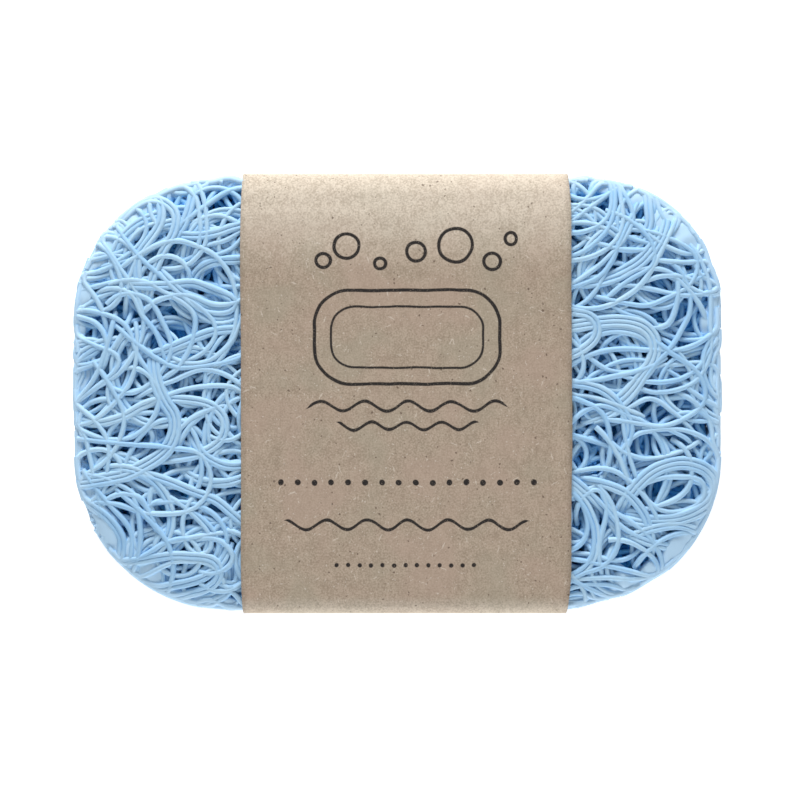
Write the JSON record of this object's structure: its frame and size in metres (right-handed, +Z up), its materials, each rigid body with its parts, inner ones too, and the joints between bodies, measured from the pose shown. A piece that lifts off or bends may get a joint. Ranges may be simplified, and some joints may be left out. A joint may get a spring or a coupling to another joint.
{
  "type": "soap saver",
  "caption": "Flat rounded-rectangle pad of looped plastic strands that drains a bar of soap, in a slip-off kraft paper belly band.",
  "frame": {"origin": "middle of the underside, on the surface that the pad lies on", "axes": "+X along the pad's length, +Y across it away from the viewer, +Z up through its thickness"},
  "size_m": [0.1198, 0.0812, 0.0117],
  "materials": {
    "strand": "satin, light blue, soft extruded bioplastic",
    "kraft": "uncoated kraft paper, matt",
    "tape": "double-sided tissue tape"
  },
  "bodies": {
    "pad": {"bottom_strand_1": "strand", "bottom_strand_2": "strand", "bottom_strand_3": "strand", "bottom_strand_4": "strand", "lower_strand_1": "strand", "lower_strand_2": "strand", "lower_strand_3": "strand", "lower_strand_4": "strand", "lower_strand_5": "strand", "upper_strand_1": "strand", "upper_strand_2": "strand", "upper_strand_3": "strand", "upper_strand_4": "strand", "top_strand_1": "strand", "top_strand_2": "strand", "top_strand_3": "strand", "top_strand_4": "strand", "top_strand_5": "strand"},
    "band": {"paper_band": "kraft", "seam_tape": "tape"}
  },
  "joints": [
    {"name": "band_slide", "type": "slide", "parent": "pad", "child": "band", "axis": [1, 0, 0], "range_m": [-0.095, 0.095]}
  ]
}
